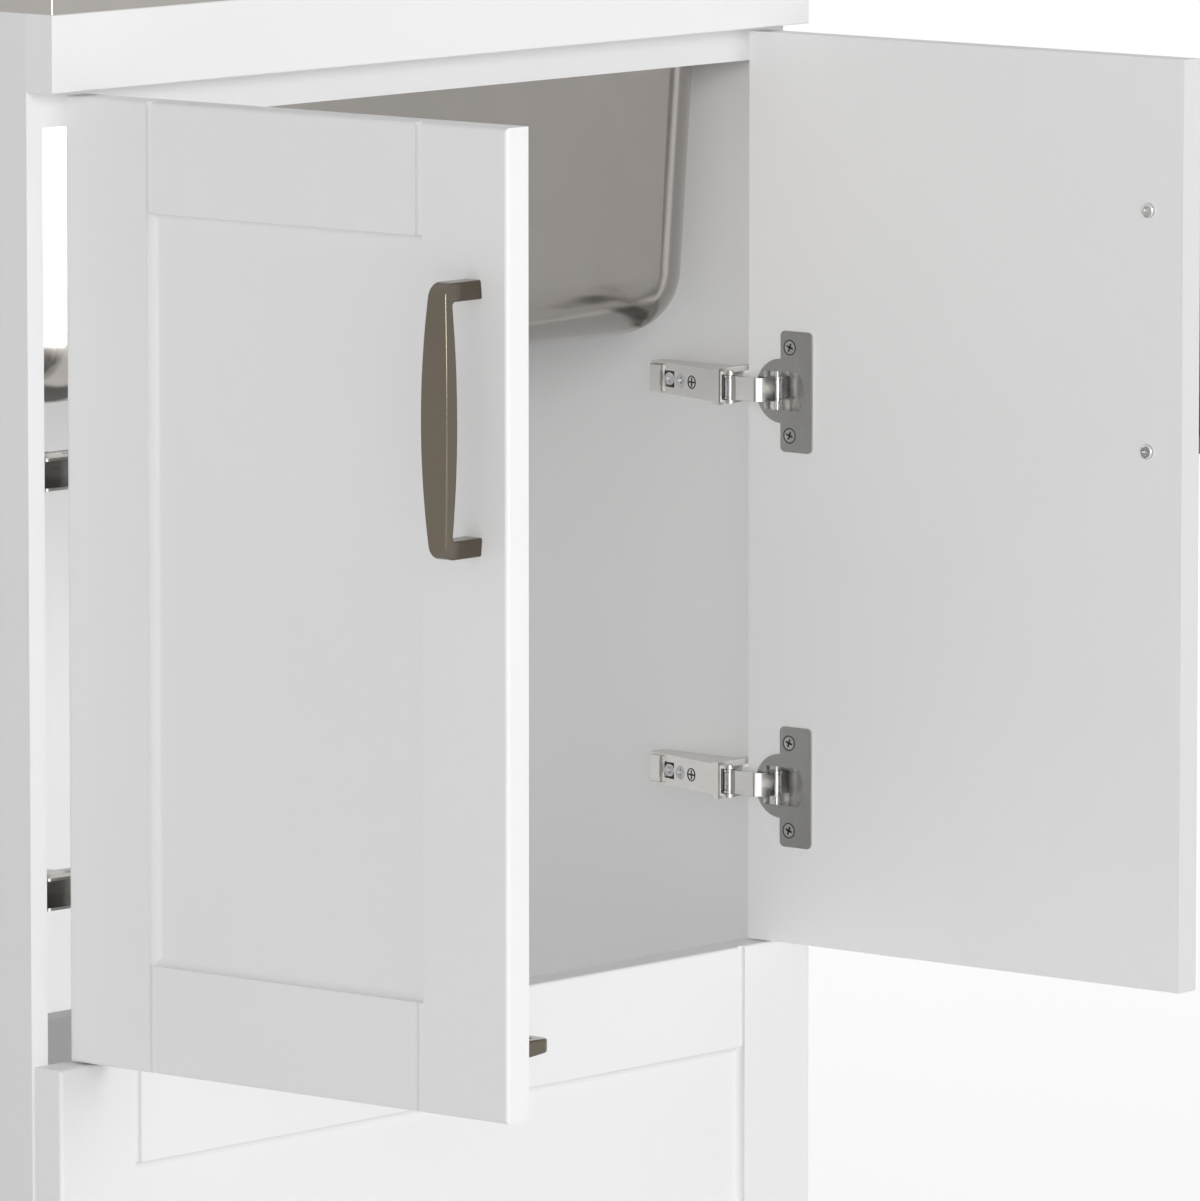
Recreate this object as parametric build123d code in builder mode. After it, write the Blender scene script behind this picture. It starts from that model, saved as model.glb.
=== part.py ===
from build123d import *
from math import hypot, radians, tan
import os

os.makedirs("parts", exist_ok=True)

# Millimetres. +Z is up and -Y is the front. The origin lies on the floor, under the middle of the
# cabinet as it stands with both doors open at right angles.

# Carcass
cabinet_width = 600.0
carcass_depth = 480.0
board = 12.0
back_board = 3.0
foot_height = 100.0
rail_height = 59.0
apron_height = 40.0
apron_thickness = 18.0

# Fronts
door_height = 496.0
door_thickness = 16.0
drawer_front_height = 197.0
drawer_front_thickness = 18.5
drawer_reveal = 1.0
apron_reveal = 2.4
side_reveal = 1.5
centre_gap = 3.0
door_gap = 2.0
drawer_gap = 1.8
front_edge_round = 2.0
apron_edge_round = 1.0

# Framed pattern of the fronts
stile_width = 58.0
door_top_rail = 56.5
door_bottom_rail = 55.3
drawer_rail = 55.0
field_depth = 5.0
field_cove = 4.6
groove_width = 4.5

# Hinges
upper_hinge_drop = 194.0
lower_hinge_drop = 410.0
open_door_inset = 21.0
open_edge_gap = 7.0
cup_pin_setback = 15.0
cup_pin_depth = 6.0
arm_pin_behind_front = 3.0
hinge_pin_radius = 1.5
pin_press_clearance = 0.03
pin_running_clearance = 0.05
pin_head_radius = 2.2
pin_head = 0.6

cup_bore_radius = 17.5
cup_bore_depth = 13.3
cup_setback = 23.5
cup_clearance = 0.1
cup_end_gap = 0.3
cup_mouth_corner = 0.6
cup_floor = 0.8
cup_mouth_near = 8.0
cup_mouth_far = 38.5
cup_mouth_half = 6.8
cup_recess_half = 10.5
cup_wall = 1.2
cup_lip = 3.5
cup_rim = 1.2
cup_pin_half = 12.0
flange_near = 23.2
flange_width = 21.8
flange_height = 65.9
flange_corner = 3.0
cup_screw_setback = 29.6
cup_screw_spacing = 48.0

link_half = 6.4
link_ear = 1.2
link_bar_radius = 2.0
link_eye_radius = 3.0
link_play = 0.3
link_web = 1.2
link_hollow_radius = 3.2
strap_bar_radius = 1.2
strap_shift = 0.8
elbow_1 = (5.2, 1.8)
elbow_2 = (17.5, 8.1)
elbow_3 = (19.8, 7.3)

arm_half = 8.4
arm_cheek = 1.5
arm_nose_radius = 3.3
arm_corner = 2.0
arm_standoff = 2.5
arm_tail_height = 14.0
arm_tail = 73.0
arm_fork = 4.0
collar_start = 8.0
collar_width = 5.0
collar_wall = 1.5
clip_start = 66.0
clip_width = 4.5
clip_half = 5.5
clip_rise = 1.6

hinge_plate_height = 8.5
hinge_plate_start = 18.0
plate_screw_start = 32.0
plate_screw_spacing = 32.0
adjuster_at = 55.0
adjuster_radius = 3.5
adjuster_window = 9.0
cam_at = 44.5
cam_radius = 3.7
cam_clearance = 0.1

# Screws
screw_radius = 2.0
screw_head_radius = 4.0
screw_head = 2.4
screw_clearance = 0.1
screw_recess_width = 0.9
screw_recess_length = 4.4
screw_recess_depth = 1.4
countersink = 45.0
cup_screw_radius = 1.9
cup_screw_length = 12.0
plate_screw_radius = 2.5
plate_screw_length = 9.0
plate_screw_head = 2.0
handle_screw_bite = 9.0

# Handles
door_handle_spacing = 128.0
door_handle_drop = 144.6
door_handle_setback = 22.7
door_handle_middle = 17.6
door_handle_end = 10.5
drawer_handle_spacing = 96.0
drawer_handle_middle = 10.6
drawer_handle_end = 6.8
handle_reach = 29.4
handle_bow = 2.9
handle_arm = 9.5
handle_depth_middle = 8.5
handle_depth_end = 4.8
handle_corner = 7.5
handle_inner_corner = 2.5
handle_edge_round = 1.1

# Drawer
drawer_side_height = 98.0
drawer_side = 13.0
drawer_back = 16.0
drawer_bottom = 8.0
drawer_floor_gap = 7.0
drawer_depth = 452.0
drawer_dowel_shares = (0.2, 0.8)
runner_space = 13.0
runner_height = 45.0
runner_wall = 1.2
runner_play = 0.3
runner_length = 440.0
runner_setback = 2.0
runner_above_bottom = 30.0
runner_screw_radius = 1.75
runner_screw_length = 8.0
runner_screw_shares = (0.1, 0.5, 0.9)

# Sink
deck_rim = 30.0
deck_rear_overhang = 2.0
deck_sheet = 1.0
deck_edge_round = 2.5
deck_return = 12.0
bowl_sheet = 1.0
bowl_side_at_reference = 26.6
bowl_front_at_reference = 19.0
bowl_rear_at_reference = 392.0
bowl_reference_drop = 67.0
bowl_bottom_drop = 166.5
bowl_draft = 3.26
bowl_corner = 58.0
bowl_bottom_round = 36.0
bowl_flange = 9.0
drain_bore_radius = 45.0
drain_seat_radius = 57.0
drain_seat_depth = 5.0
tap_bore_radius = 17.5
tap_bore_setback = 44.0
sink_clip_width = 20.0
sink_clip_sheet = 1.5
sink_clip_drop = 30.0
sink_clip_reach = 9.0
sink_clip_inset = 110.0

# Feet and plinth
foot_pad_radius = 28.0
foot_pad_height = 9.0
foot_stem_radius = 14.0
foot_top_radius = 27.0
foot_top_height = 8.0
foot_inset = 85.0
plinth_board = 12.0
plinth_floor_gap = 4.0
plinth_top_gap = 3.0
plinth_setback = 40.0
plinth_clip_height = 14.0
plinth_clip_wall = 3.0
plinth_clip_play = 0.2
plinth_clip_foot = 26.0

# Wooden dowels between the sides and the boards that they carry
dowel_radius = 3.0
dowel_length = 22.0
dowel_in_side = 8.0
dowel_end_gap = 0.4
dowel_clearance = 0.05
dowel_inset = 15.0
bottom_dowel_inset = 60.0

# Places that follow from the sizes above. The open doors reach in front of the carcass and the deck
# behind it, and the origin is midway between the two.
door_width = cabinet_width / 2 - side_reveal - centre_gap / 2
deck_overhang = apron_thickness
deck_depth = deck_overhang + carcass_depth + deck_rear_overhang
front = (open_edge_gap + door_width - deck_depth + deck_overhang) / 2
back = front + carcass_depth
left = -cabinet_width / 2
inner_left = left + board
inner_width = cabinet_width - 2 * board
inner_back = back - back_board

drawer_front_top = foot_height + drawer_front_height
door_bottom = drawer_front_top + drawer_reveal
door_top = door_bottom + door_height
carcass_top = door_top + apron_reveal + apron_height
deck_top = carcass_top + deck_rim
rail_bottom = carcass_top - rail_height
hinge_heights = {"upper": door_top - upper_hinge_drop, "lower": door_top - lower_hinge_drop}

# The open left door: its outer face, inner face and hinge edge
outer_x = left + open_door_inset
inner_x = outer_x + door_thickness
edge_y = front - open_edge_gap

# The hinge is one crank. The cup pin is known closed and open, and the arm pin stands at equal
# distances from both places.
cup_pin_closed = (left + side_reveal + cup_pin_setback, front - door_gap - cup_pin_depth)
cup_pin = (inner_x - cup_pin_depth, edge_y - cup_pin_setback)
chord_x = cup_pin[0] - cup_pin_closed[0]
chord_y = cup_pin[1] - cup_pin_closed[1]
arm_pin_y = front + arm_pin_behind_front
arm_pin_x = (cup_pin[0] + cup_pin_closed[0]) / 2 + chord_y / chord_x * (
    (cup_pin[1] + cup_pin_closed[1]) / 2 - arm_pin_y
)
crank_length = hypot(arm_pin_x - cup_pin[0], arm_pin_y - cup_pin[1])
crank_plane = Plane(
    origin=(arm_pin_x, arm_pin_y, 0),
    x_dir=(cup_pin[0] - arm_pin_x, cup_pin[1] - arm_pin_y, 0),
    z_dir=(0, 0, 1),
)


def save(piece, name):
    """Label a finished piece and write it."""
    piece.part.label = name
    export_step(piece.part, f"parts/{name}.step")


def save_twin(piece, name):
    """Write the mirror image of a left-hand piece as its right-hand twin."""
    with BuildPart() as twin:
        mirror(piece.part, about=Plane.YZ)
    save(twin, name)


def round_spots(plane, spots, radius):
    """Circles of one radius on a plane, at places in that plane."""
    with BuildSketch(plane) as circles:
        with Locations(*spots):
            Circle(radius)
    return circles.sketch


def cross_spots(plane, spots, width, length):
    """Cross recesses on a plane, at places in that plane."""
    with BuildSketch(plane) as crosses:
        with Locations(*spots):
            Rectangle(width, length)
            Rectangle(length, width)
    return crosses.sketch


# Dowel places as (y, z), in the plane of the side panels
bottom_dowels = [
    (y, foot_height + board / 2)
    for y in (front + bottom_dowel_inset, (front + inner_back) / 2, inner_back - bottom_dowel_inset)
]
front_rail_dowels = [
    (front + board / 2, z) for z in (rail_bottom + dowel_inset, carcass_top - dowel_inset)
]
rear_rail_dowels = [
    (inner_back - board / 2, z) for z in (rail_bottom + dowel_inset, carcass_top - dowel_inset)
]
side_dowels = bottom_dowels + front_rail_dowels + rear_rail_dowels
dowel_hole = dowel_radius + dowel_clearance
dowel_in_board = dowel_length - dowel_in_side
side_plane = Plane.YZ.offset(inner_left)
far_side_plane = Plane.YZ.offset(-inner_left)

# Screws that hold the hinge plates and the runners to the sides, as (y, z)
plate_screw_spots = [
    (front + plate_screw_start + turn * plate_screw_spacing, z)
    for z in hinge_heights.values()
    for turn in (0, 1)
]
runner_z = foot_height + board + runner_above_bottom
runner_start = front + runner_setback
runner_screw_spots = [
    (runner_start + share * runner_length, runner_z) for share in runner_screw_shares
]

# Side panels
with BuildPart() as left_side_panel:
    with BuildSketch(Plane.XY.offset(foot_height)):
        with Locations((left + board / 2, (front + back) / 2)):
            Rectangle(board, carcass_depth)
    extrude(amount=carcass_top - foot_height)
    extrude(round_spots(side_plane, side_dowels, dowel_hole), amount=-dowel_in_side - dowel_end_gap / 2,
            mode=Mode.SUBTRACT)
    extrude(round_spots(side_plane, plate_screw_spots, plate_screw_radius + screw_clearance),
            amount=-plate_screw_length, mode=Mode.SUBTRACT)
    extrude(round_spots(side_plane, runner_screw_spots, runner_screw_radius + screw_clearance),
            amount=-runner_screw_length, mode=Mode.SUBTRACT)
save(left_side_panel, "left_side_panel")
save_twin(left_side_panel, "right_side_panel")


def crossing_board(size_y, size_z, centre_y, bottom_z, spots):
    """A board between the two sides, with dowel holes in both ends."""
    with BuildPart() as crossing:
        with BuildSketch(Plane.XY.offset(bottom_z)):
            with Locations((0, centre_y)):
                Rectangle(inner_width, size_y)
        extrude(amount=size_z)
        depth = dowel_in_board + dowel_end_gap / 2
        extrude(round_spots(side_plane, spots, dowel_hole), amount=depth, mode=Mode.SUBTRACT)
        extrude(round_spots(far_side_plane, spots, dowel_hole), amount=-depth, mode=Mode.SUBTRACT)
    return crossing


save(
    crossing_board(inner_back - front, board, (front + inner_back) / 2, foot_height, bottom_dowels),
    "bottom_panel",
)
save(
    crossing_board(board, rail_height, front + board / 2, rail_bottom, front_rail_dowels),
    "front_rail",
)
save(
    crossing_board(board, rail_height, inner_back - board / 2, rail_bottom, rear_rail_dowels),
    "rear_rail",
)

with BuildPart() as carcass_dowels:
    extrude(round_spots(side_plane, side_dowels, dowel_radius), amount=dowel_in_board)
    extrude(round_spots(side_plane, side_dowels, dowel_radius), amount=-dowel_in_side)
    mirror(about=Plane.YZ)
save(carcass_dowels, "carcass_dowels")

# Back panel, between the sides
with BuildPart() as back_panel:
    with BuildSketch(Plane.XY.offset(foot_height)):
        with Locations((0, back - back_board / 2)):
            Rectangle(inner_width, back_board)
    extrude(amount=carcass_top - foot_height)
save(back_panel, "back_panel")

# Apron board across the top, in line with the closed doors
with BuildPart() as apron:
    with BuildSketch(Plane.XY.offset(carcass_top - apron_height)):
        with Locations((0, front - apron_thickness / 2)):
            Rectangle(cabinet_width, apron_thickness)
    extrude(amount=apron_height)
    fillet(apron.edges().filter_by(Axis.X).group_by(Axis.Y)[0], radius=apron_edge_round)
save(apron, "apron")

# Plinth board in front of the front feet
plinth_y = front + plinth_setback
with BuildPart() as plinth:
    with BuildSketch(Plane.XY.offset(plinth_floor_gap)):
        with Locations((0, plinth_y + plinth_board / 2)):
            Rectangle(cabinet_width, plinth_board)
    extrude(amount=foot_height - plinth_floor_gap - plinth_top_gap)
save(plinth, "plinth")

# Feet
foot_x = cabinet_width / 2 - foot_inset
foot_places = {
    "front_left_foot": (-foot_x, front + foot_inset),
    "front_right_foot": (foot_x, front + foot_inset),
    "rear_left_foot": (-foot_x, back - foot_inset),
    "rear_right_foot": (foot_x, back - foot_inset),
}
for foot_name, foot_place in foot_places.items():
    with BuildPart() as foot:
        with BuildSketch(Plane.XY):
            with Locations(foot_place):
                Circle(foot_pad_radius)
        extrude(amount=foot_pad_height)
        with BuildSketch(Plane.XY.offset(foot_pad_height)):
            with Locations(foot_place):
                Circle(foot_stem_radius)
        extrude(amount=foot_height - foot_pad_height - foot_top_height)
        with BuildSketch(Plane.XY.offset(foot_height - foot_top_height)):
            with Locations(foot_place):
                Circle(foot_top_radius)
        extrude(amount=foot_top_height)
    save(foot, foot_name)

# Clips that grip the front feet's stems and hold the plinth
clip_inner = foot_stem_radius + plinth_clip_play
clip_outer = clip_inner + plinth_clip_wall
clip_y = front + foot_inset
plinth_rear = plinth_y + plinth_board
with BuildPart() as plinth_clips:
    with BuildSketch(Plane.XY.offset(foot_height / 2 - plinth_clip_height / 2)):
        with Locations((-foot_x, clip_y)):
            Circle(clip_outer)
        with Locations((-foot_x, (plinth_rear + clip_y) / 2)):
            Rectangle(clip_outer, clip_y - plinth_rear)
        with Locations((-foot_x, plinth_rear + plinth_clip_wall / 2)):
            Rectangle(2 * plinth_clip_foot, plinth_clip_wall)
        with Locations((-foot_x, clip_y)):
            Circle(clip_inner, mode=Mode.SUBTRACT)
        with Locations((-foot_x, clip_y + clip_outer)):
            Rectangle(clip_outer, 2 * plinth_clip_wall + clip_inner, mode=Mode.SUBTRACT)
    extrude(amount=plinth_clip_height)
    mirror(about=Plane.YZ)
save(plinth_clips, "plinth_clips")

# Sink: the bowl is wider at the top by its draft, and hangs from the deck by its flange
deck_y = front - deck_overhang + deck_depth / 2
flange_top = deck_top - deck_sheet
reference_z = door_top - bowl_reference_drop
bowl_bottom = door_top - bowl_bottom_drop
bowl_growth = tan(radians(bowl_draft)) * (flange_top - reference_z)
mouth_width = cabinet_width - 2 * bowl_side_at_reference + 2 * bowl_growth
mouth_depth = bowl_rear_at_reference - bowl_front_at_reference + 2 * bowl_growth
mouth_y = front + (bowl_rear_at_reference + bowl_front_at_reference) / 2
drain_place = (0, mouth_y)
tap_place = (0, front - deck_overhang + deck_depth - tap_bore_setback)


def rounded_outline(height, width, depth, corner):
    """A rectangle with round corners round the bowl's middle, at a height."""
    with BuildSketch(Plane.XY.offset(height)) as outline:
        with Locations((0, mouth_y)):
            RectangleRounded(width, depth, corner)
    return outline.sketch


def bowl_solid(sheet, bottom):
    """The bowl's outer form drawn in by a sheet thickness, down to a bottom height."""
    with BuildPart() as form:
        extrude(
            rounded_outline(flange_top, mouth_width - 2 * sheet, mouth_depth - 2 * sheet,
                            bowl_corner - sheet),
            amount=-(flange_top - bottom),
            taper=bowl_draft,
        )
        fillet(form.edges().group_by(Axis.Z)[0], radius=bowl_bottom_round - sheet)
    return form.part


with BuildPart() as sink_bowl:
    add(bowl_solid(0, bowl_bottom))
    extrude(
        rounded_outline(flange_top, mouth_width + 2 * bowl_flange, mouth_depth + 2 * bowl_flange,
                        bowl_corner + bowl_flange),
        amount=-bowl_sheet,
    )
    extrude(round_spots(Plane.XY.offset(bowl_bottom), [drain_place], drain_seat_radius + bowl_sheet),
            amount=-drain_seat_depth)
    extrude(round_spots(Plane.XY.offset(bowl_bottom), [drain_place], drain_seat_radius),
            amount=bowl_sheet - drain_seat_depth, mode=Mode.SUBTRACT)
    add(bowl_solid(bowl_sheet, bowl_bottom + bowl_sheet), mode=Mode.SUBTRACT)
    extrude(round_spots(Plane.XY.offset(bowl_bottom), [drain_place], drain_seat_radius),
            amount=bowl_sheet, mode=Mode.SUBTRACT)
    extrude(round_spots(Plane.XY.offset(bowl_bottom), [drain_place], drain_bore_radius),
            amount=-drain_seat_depth, mode=Mode.SUBTRACT)
save(sink_bowl, "sink_bowl")

with BuildPart() as sink_deck:
    with BuildSketch(Plane.XY.offset(carcass_top)):
        with Locations((0, deck_y)):
            RectangleRounded(cabinet_width, deck_depth, deck_edge_round)
    extrude(amount=deck_rim)
    fillet(sink_deck.edges().group_by(Axis.Z)[-1], radius=deck_edge_round - deck_sheet)
    with BuildSketch(Plane.XY.offset(carcass_top + deck_sheet)):
        with Locations((0, deck_y)):
            RectangleRounded(cabinet_width - 2 * deck_sheet, deck_depth - 2 * deck_sheet,
                             deck_edge_round - deck_sheet)
    extrude(amount=deck_rim - 2 * deck_sheet, mode=Mode.SUBTRACT)
    with BuildSketch(Plane.XY.offset(carcass_top)):
        with Locations((0, deck_y)):
            Rectangle(cabinet_width - 2 * deck_return, deck_depth - 2 * deck_return)
    extrude(amount=deck_sheet, mode=Mode.SUBTRACT)
    extrude(rounded_outline(flange_top, mouth_width - 2 * bowl_sheet, mouth_depth - 2 * bowl_sheet,
                            bowl_corner - bowl_sheet), amount=deck_sheet, mode=Mode.SUBTRACT)
    extrude(round_spots(Plane.XY.offset(flange_top), [tap_place], tap_bore_radius),
            amount=deck_sheet, mode=Mode.SUBTRACT)
save(sink_deck, "sink_deck")

# Clips on the side panels that hook over the deck's inward return
clip_top = carcass_top + deck_sheet
clip_spots = (front + sink_clip_inset, back - sink_clip_inset)
with BuildPart() as sink_clips:
    for spot in clip_spots:
        with BuildSketch(Plane.XZ.offset(-spot - sink_clip_width / 2)):
            with Locations((inner_left + sink_clip_sheet / 2, clip_top - sink_clip_drop / 2)):
                Rectangle(sink_clip_sheet, sink_clip_drop)
            with Locations((inner_left + sink_clip_sheet - sink_clip_reach / 2,
                            clip_top + sink_clip_sheet / 2)):
                Rectangle(sink_clip_reach, sink_clip_sheet)
        extrude(amount=sink_clip_width)
    mirror(about=Plane.YZ)
save(sink_clips, "sink_clips")


def framed_front(face, width, height, thickness, bottom_rail, top_rail):
    """A front whose outer face is on a plane: stiles, rails between round grooves, a sunk field."""
    outward = Axis(face.origin, face.z_dir)
    field_width = width - 2 * stile_width + groove_width
    stiles = ((stile_width - width / 2, 0), (width / 2 - stile_width, 0))
    rails = ((height / 2, -top_rail), (-height / 2, bottom_rail))
    with BuildPart() as slab:
        with BuildSketch(face):
            Rectangle(width, height)
        extrude(amount=-thickness)
        fillet(slab.faces().sort_by(outward)[-1].edges(), radius=front_edge_round)
        with BuildSketch(face):
            with Locations((0, (bottom_rail - top_rail) / 2)):
                Rectangle(field_width, height - bottom_rail - top_rail)
        extrude(amount=-field_depth, mode=Mode.SUBTRACT)
        fillet(slab.faces().filter_by(outward).sort_by(outward)[1].edges(), radius=field_cove)
        for rail_edge, rail_run in rails:
            rail_end = Plane(origin=face.from_local_coords((0, rail_edge, 0)), x_dir=face.x_dir,
                             z_dir=face.y_dir)
            with BuildSketch(rail_end):
                with Locations(*stiles):
                    Circle(groove_width / 2)
            extrude(amount=rail_run, mode=Mode.SUBTRACT)
    return slab


def bow_handle(foot, spacing, middle_width, end_width):
    """A bow handle standing on a plane, with its length along the plane's Y."""
    half_length = spacing / 2 + handle_arm / 2
    shoulder = handle_reach - handle_bow
    inner_end = half_length - handle_arm
    beyond = half_length + handle_edge_round
    side_view = Plane(origin=foot.origin, x_dir=foot.y_dir, z_dir=foot.x_dir)
    with BuildPart() as handle:
        with BuildSketch(side_view) as bow:
            with BuildLine():
                Line((-half_length, 0), (-half_length, shoulder))
                ThreePointArc((-half_length, shoulder), (0, handle_reach), (half_length, shoulder))
                Line((half_length, shoulder), (half_length, 0))
                Line((half_length, 0), (-half_length, 0))
            make_face()
            with BuildLine():
                Line((-inner_end, 0), (-inner_end, shoulder - handle_depth_end))
                ThreePointArc((-inner_end, shoulder - handle_depth_end),
                              (0, handle_reach - handle_depth_middle),
                              (inner_end, shoulder - handle_depth_end))
                Line((inner_end, shoulder - handle_depth_end), (inner_end, 0))
                Line((inner_end, 0), (-inner_end, 0))
            make_face(mode=Mode.SUBTRACT)
            fillet(bow.vertices().group_by(Axis.Y)[1], radius=handle_inner_corner)
            fillet(bow.vertices().group_by(Axis.Y)[-1], radius=handle_corner)
        extrude(amount=middle_width, both=True)
        with BuildSketch(foot):
            with BuildLine():
                ThreePointArc((-end_width / 2, beyond), (-middle_width / 2, 0),
                              (-end_width / 2, -beyond))
                Line((-end_width / 2, -beyond), (end_width / 2, -beyond))
                ThreePointArc((end_width / 2, -beyond), (middle_width / 2, 0),
                              (end_width / 2, beyond))
                Line((end_width / 2, beyond), (-end_width / 2, beyond))
            make_face()
        extrude(amount=handle_reach, mode=Mode.INTERSECT)
        long_edges = handle.edges().filter_by(lambda edge: edge.length > spacing / 2)
        fillet(long_edges, radius=handle_edge_round)
        extrude(round_spots(foot, [(0, -spacing / 2), (0, spacing / 2)],
                            screw_radius + pin_press_clearance),
                amount=handle_screw_bite + pin_press_clearance, mode=Mode.SUBTRACT)
    return handle


def pan_screws(seat, spots, shank):
    """Pan-head screws with a cross recess, their heads standing on a plane."""
    with BuildPart() as screws:
        extrude(round_spots(seat, spots, screw_head_radius), amount=screw_head)
        fillet(screws.edges().group_by(Axis(seat.origin, seat.z_dir))[-1], radius=screw_head / 2)
        extrude(round_spots(seat, spots, screw_radius), amount=-shank)
        extrude(cross_spots(seat.offset(screw_head), spots, screw_recess_width,
                            screw_recess_length),
                amount=-screw_recess_depth, mode=Mode.SUBTRACT)
    return screws


def flush_screws(seat, spots, sheet, radius, shank):
    """Screws with a cone head that fills a sheet on a plane, and their shanks below it."""
    with BuildPart() as screws:
        extrude(round_spots(seat.offset(sheet), spots, radius + sheet), amount=-sheet, taper=countersink)
        extrude(round_spots(seat, spots, radius), amount=-shank)
        extrude(cross_spots(seat.offset(sheet), spots, screw_recess_width, 2 * radius),
                amount=-sheet, mode=Mode.SUBTRACT)
    return screws


# Left door, open. On its outer plane X is the distance from the middle towards the free edge; on its
# inner plane X is the height and Y the distance from the hinge edge.
door_middle_y = edge_y - door_width / 2
outer_plane = Plane(origin=(outer_x, door_middle_y, door_bottom + door_height / 2),
                    x_dir=(0, -1, 0), z_dir=(-1, 0, 0))
inner_plane = Plane(origin=(inner_x, edge_y, 0), x_dir=(0, 0, 1), z_dir=(1, 0, 0))
handle_z = door_top - door_handle_drop
handle_foot = Plane(
    origin=(outer_x, edge_y - door_width + door_handle_setback, handle_z),
    x_dir=(0, -1, 0),
    z_dir=(-1, 0, 0),
)
handle_screw_spots = [
    (handle_z + side * door_handle_spacing / 2, door_width - door_handle_setback)
    for side in (-1, 1)
]
cup_spots = [(z, cup_setback) for z in hinge_heights.values()]
cup_screw_spots = [
    (z + side * cup_screw_spacing / 2, cup_screw_setback)
    for z in hinge_heights.values()
    for side in (-1, 1)
]
cup_body_depth = cup_bore_depth - cup_end_gap

with BuildPart() as left_door:
    add(framed_front(outer_plane, door_width, door_height, door_thickness, door_bottom_rail,
                     door_top_rail).part)
    extrude(round_spots(inner_plane, cup_spots, cup_bore_radius), amount=-cup_bore_depth,
            mode=Mode.SUBTRACT)
    extrude(round_spots(inner_plane, cup_screw_spots, cup_screw_radius + screw_clearance),
            amount=-cup_screw_length - screw_clearance, mode=Mode.SUBTRACT)
    extrude(round_spots(inner_plane, handle_screw_spots, screw_radius + screw_clearance),
            amount=-door_thickness, mode=Mode.SUBTRACT)
save(left_door, "left_door")
save_twin(left_door, "right_door")

door_handle = bow_handle(handle_foot, door_handle_spacing, door_handle_middle, door_handle_end)
save(door_handle, "left_door_handle")
save_twin(door_handle, "right_door_handle")

door_handle_screws = pan_screws(inner_plane, handle_screw_spots, door_thickness + handle_screw_bite)
save(door_handle_screws, "left_handle_screws")
save_twin(door_handle_screws, "right_handle_screws")

cup_screws = flush_screws(inner_plane, cup_screw_spots, cup_rim, cup_screw_radius, cup_screw_length)
save(cup_screws, "left_cup_screws")
save_twin(cup_screws, "right_cup_screws")

with BuildPart() as cup_pins:
    for z in hinge_heights.values():
        extrude(round_spots(Plane.XY.offset(z), [cup_pin], hinge_pin_radius), amount=cup_pin_half,
                both=True)
save(cup_pins, "left_cup_pins")
save_twin(cup_pins, "right_cup_pins")


def hinge_cup(z):
    """A hinge cup with its flange on the door's inner face and a mouth for the crank."""
    mouth_length = cup_mouth_far - cup_mouth_near
    with BuildPart() as cup:
        extrude(round_spots(inner_plane, [(z, cup_setback)], cup_bore_radius - cup_clearance),
                amount=-cup_body_depth)
        with BuildSketch(inner_plane):
            with Locations((z, cup_setback)):
                Circle(cup_bore_radius)
            with Locations((z, flange_near + flange_width / 2)):
                RectangleRounded(flange_height, flange_width, flange_corner)
        extrude(amount=cup_rim)
        with BuildSketch(inner_plane.offset(cup_rim)):
            with Locations((z, cup_mouth_near + mouth_length / 2)):
                RectangleRounded(2 * cup_mouth_half, mouth_length, cup_mouth_corner)
        extrude(amount=-cup_rim - cup_body_depth + cup_floor, mode=Mode.SUBTRACT)
        with BuildSketch(inner_plane.offset(cup_rim)):
            with Locations((z, cup_setback)):
                Circle(cup_bore_radius - cup_wall)
                Rectangle(2 * cup_recess_half, 2 * cup_bore_radius, mode=Mode.INTERSECT)
            with Locations((z, cup_mouth_near)):
                Rectangle(2 * cup_bore_radius, 2 * cup_lip, mode=Mode.SUBTRACT)
        extrude(amount=-cup_rim - cup_body_depth + cup_floor, mode=Mode.SUBTRACT)
        extrude(round_spots(Plane.XY.offset(z), [cup_pin], hinge_pin_radius + pin_press_clearance),
                amount=cup_pin_half, both=True, mode=Mode.SUBTRACT)
        spots = [(z - cup_screw_spacing / 2, cup_screw_setback),
                 (z + cup_screw_spacing / 2, cup_screw_setback)]
        extrude(round_spots(inner_plane.offset(cup_rim), spots,
                            cup_screw_radius + cup_rim + pin_press_clearance),
                amount=-cup_rim, taper=countersink, mode=Mode.SUBTRACT)
    return cup


# The crank: on its plane X runs from the arm pin to the cup pin
crank_points = [(0, 0), elbow_1, elbow_2, elbow_3, (crank_length, 0)]
crank_ends = [(0, 0), (crank_length, 0)]


def crank_outline(z, shift, bar_radius, eye_radius):
    """A bar along the crank's elbows, moved inwards by a shift, with an eye round each pin."""
    with BuildLine() as course:
        Polyline(*[(along, out - shift) for along, out in crank_points])
    with BuildSketch(crank_plane.offset(z)) as outline:
        SlotArc(course.wire(), 2 * bar_radius)
        with Locations(*crank_ends):
            Circle(eye_radius)
    return outline.sketch


def outer_link(z):
    """A folded channel with an ear above and below, and its web on the outside of the bend."""
    with BuildPart() as link:
        extrude(crank_outline(z, 0, link_bar_radius, link_eye_radius), amount=link_half, both=True)
        extrude(crank_outline(z, link_web, link_bar_radius, link_hollow_radius),
                amount=link_half - link_ear, both=True, mode=Mode.SUBTRACT)
        extrude(round_spots(crank_plane.offset(z), crank_ends,
                            hinge_pin_radius + pin_running_clearance),
                amount=link_half, both=True, mode=Mode.SUBTRACT)
    return link


with BuildPart() as inner_links:
    for z in hinge_heights.values():
        extrude(crank_outline(z, strap_shift, strap_bar_radius, link_eye_radius - link_play),
                amount=link_half - link_ear - link_play, both=True)
        extrude(round_spots(crank_plane.offset(z), crank_ends,
                            hinge_pin_radius + pin_running_clearance),
                amount=link_half, both=True, mode=Mode.SUBTRACT)
save(inner_links, "left_inner_links")
save_twin(inner_links, "right_inner_links")

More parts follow.
